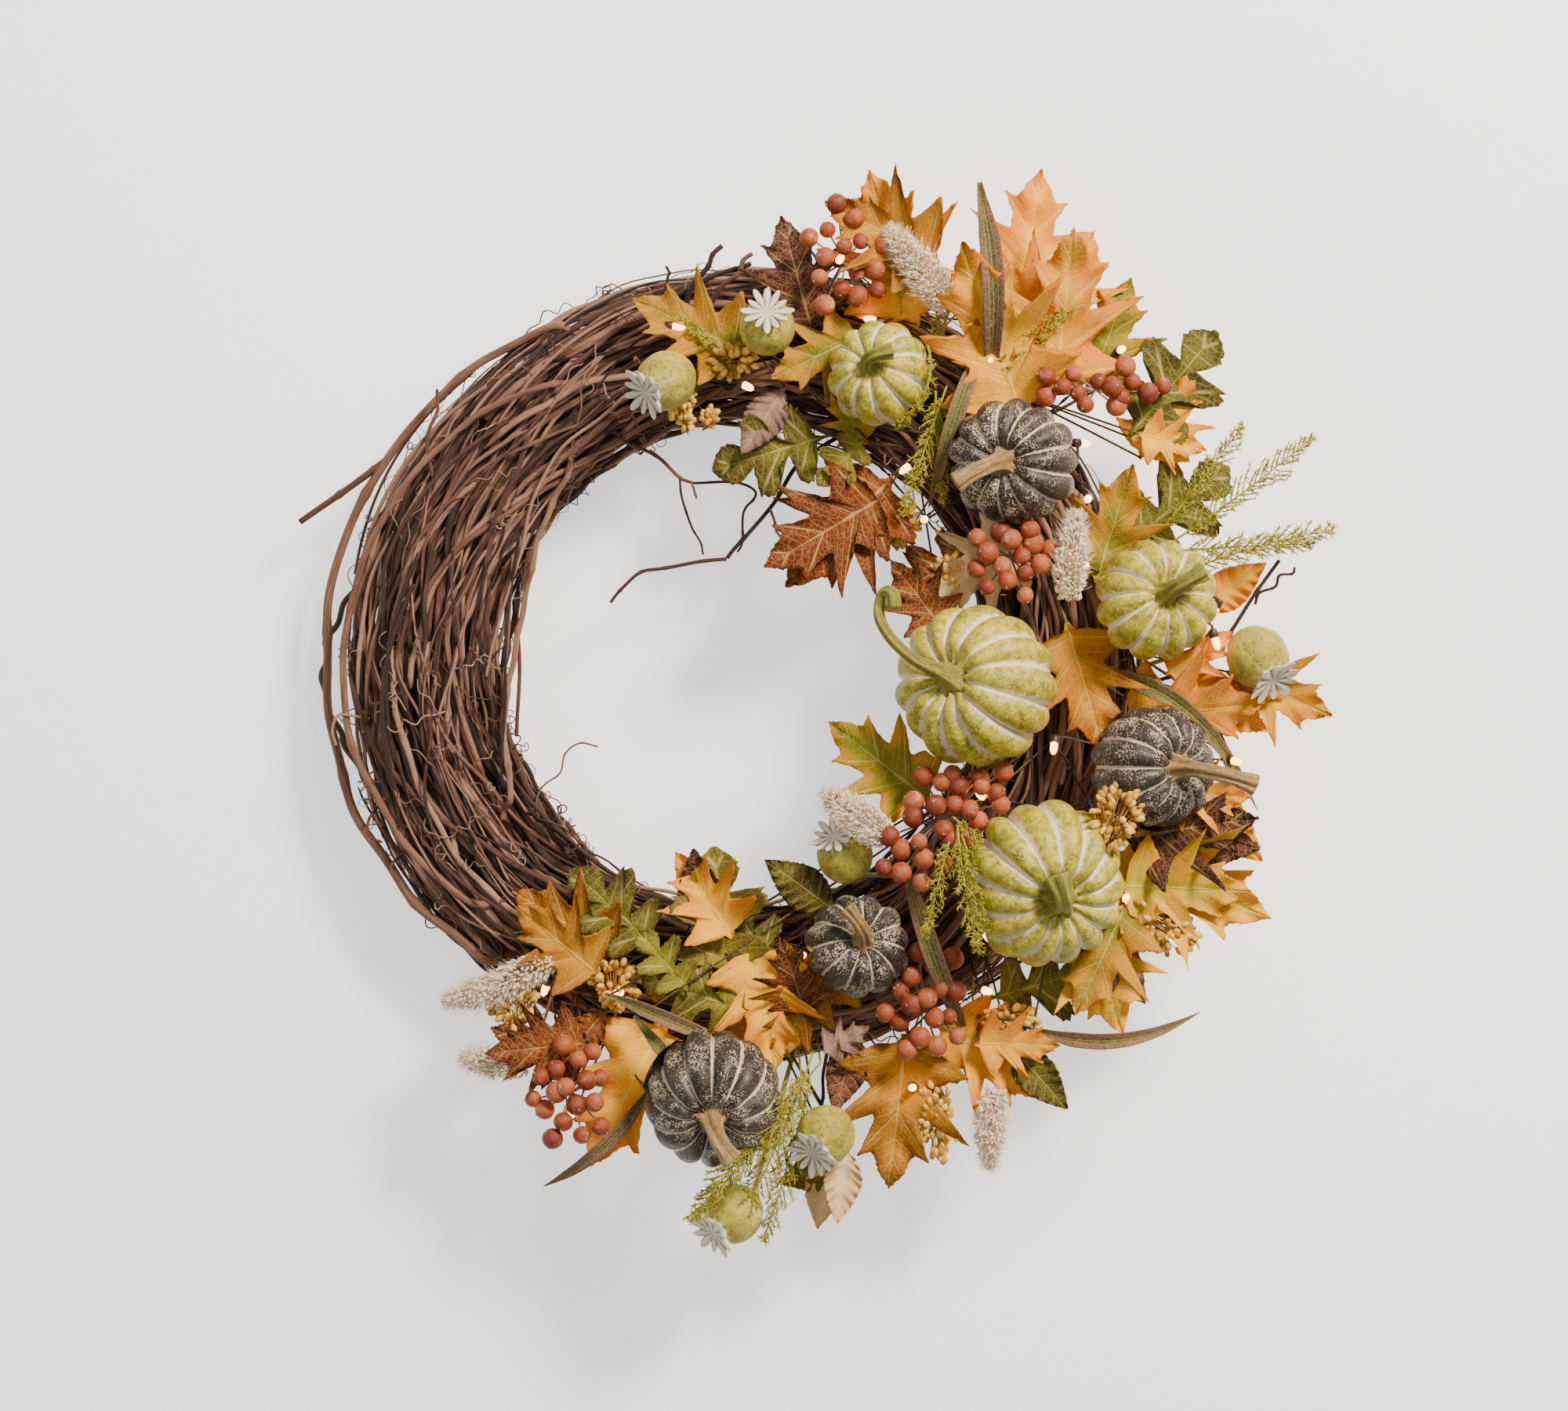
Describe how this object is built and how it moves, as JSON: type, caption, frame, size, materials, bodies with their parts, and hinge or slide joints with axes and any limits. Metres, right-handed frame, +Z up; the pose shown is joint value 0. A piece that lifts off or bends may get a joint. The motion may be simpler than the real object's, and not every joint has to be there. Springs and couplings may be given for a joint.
{
  "type": "harvest door wreath",
  "caption": "Lit harvest door wreath: a grapevine ring with pumpkins, poppy pods, berries, foxtails and autumn leaves, hung from a wire loop, with a battery box at its back.",
  "frame": {"origin": "point on the underside of the hanging loop's arch, where the hook carries the wreath", "axes": "+Z up, the front faces -Y, the door side is +Y, +X is to the right seen from the front"},
  "size_m": [0.7103, 0.1974, 0.7352],
  "materials": {
    "vine_bark": "dry grapevine bark, matt",
    "twig_bark": "dry bark with nodes, matt",
    "pumpkin_green": "painted moulded skin, satin",
    "pumpkin_dark": "painted moulded skin with pale freckles, satin",
    "pumpkin_stalk": "ridged stalk, matt",
    "poppy_pod": "frosted moulded pod, matt",
    "terracotta_berry": "frosted bead, satin",
    "foxtail_seed": "fine bristles and seeds, matt",
    "rust_leaf": "printed cloth, matt",
    "orange_leaf": "printed cloth, matt",
    "olive_leaf": "printed cloth, matt",
    "green_blade": "moulded blades and fronds, satin",
    "brown_wire": "insulated fine wire, satin",
    "brown_plastic": "moulded, fine texture",
    "black_plastic": "moulded, smooth",
    "cell_wrap": "shrink wrap, glossy",
    "plated_contact": "nickel plated",
    "florist_wire": "dark annealed wire"
  },
  "bodies": {
    "wreath": {"vine_bundle": "vine_bark", "loose_cane_1": "twig_bark", "loose_cane_2": "twig_bark", "loose_cane_3": "twig_bark", "loose_cane_4": "twig_bark", "pumpkin_1": "pumpkin_green", "pumpkin_2": "pumpkin_dark", "pumpkin_3": "pumpkin_green", "pumpkin_4": "pumpkin_green", "pumpkin_5": "pumpkin_dark", "pumpkin_6": "pumpkin_green", "pumpkin_7": "pumpkin_dark", "pumpkin_8": "pumpkin_dark", "pumpkin_stem_1": "pumpkin_stalk", "pumpkin_stem_2": "pumpkin_stalk", "pumpkin_stem_3": "pumpkin_stalk", "pumpkin_stem_4": "pumpkin_stalk", "pumpkin_stem_5": "pumpkin_stalk", "pumpkin_stem_6": "pumpkin_stalk", "pumpkin_stem_7": "pumpkin_stalk", "pumpkin_stem_8": "pumpkin_stalk", "poppy_pod_1": "poppy_pod", "poppy_pod_2": "poppy_pod", "poppy_pod_3": "poppy_pod", "poppy_pod_4": "poppy_pod", "poppy_pod_5": "poppy_pod", "poppy_pod_6": "poppy_pod", "berry_spray_1": "terracotta_berry", "berry_spray_2": "terracotta_berry", "berry_spray_3": "terracotta_berry", "berry_spray_4": "terracotta_berry", "berry_spray_5": "terracotta_berry", "berry_spray_6": "terracotta_berry", "foxtail_1": "foxtail_seed", "foxtail_2": "foxtail_seed", "foxtail_3": "foxtail_seed", "foxtail_4": "foxtail_seed", "foxtail_5": "foxtail_seed", "leaf_spray_1": "olive_leaf", "leaf_spray_2": "orange_leaf", "leaf_spray_3": "olive_leaf", "leaf_spray_4": "olive_leaf", "leaf_spray_5": "orange_leaf", "leaf_spray_6": "rust_leaf", "leaf_spray_7": "orange_leaf", "leaf_spray_8": "orange_leaf", "leaf_spray_9": "olive_leaf", "leaf_spray_10": "rust_leaf", "grass_spray": "green_blade", "fern_spray": "green_blade", "light_string": "brown_wire", "hanging_loop": "florist_wire", "battery_box": "brown_plastic", "battery_1": "cell_wrap", "battery_2": "cell_wrap", "battery_3": "cell_wrap", "contact_left": "plated_contact", "contact_right": "plated_contact"},
    "cover": {"battery_cover": "brown_plastic"},
    "switch": {"slide_switch": "black_plastic"}
  },
  "joints": [
    {"name": "cover_slide", "type": "slide", "parent": "wreath", "child": "cover", "axis": [-1, 0, 0], "range_m": [0, 0.062]},
    {"name": "switch_slide", "type": "slide", "parent": "wreath", "child": "switch", "axis": [0, 0, 1], "range_m": [0, 0.007]}
  ]
}
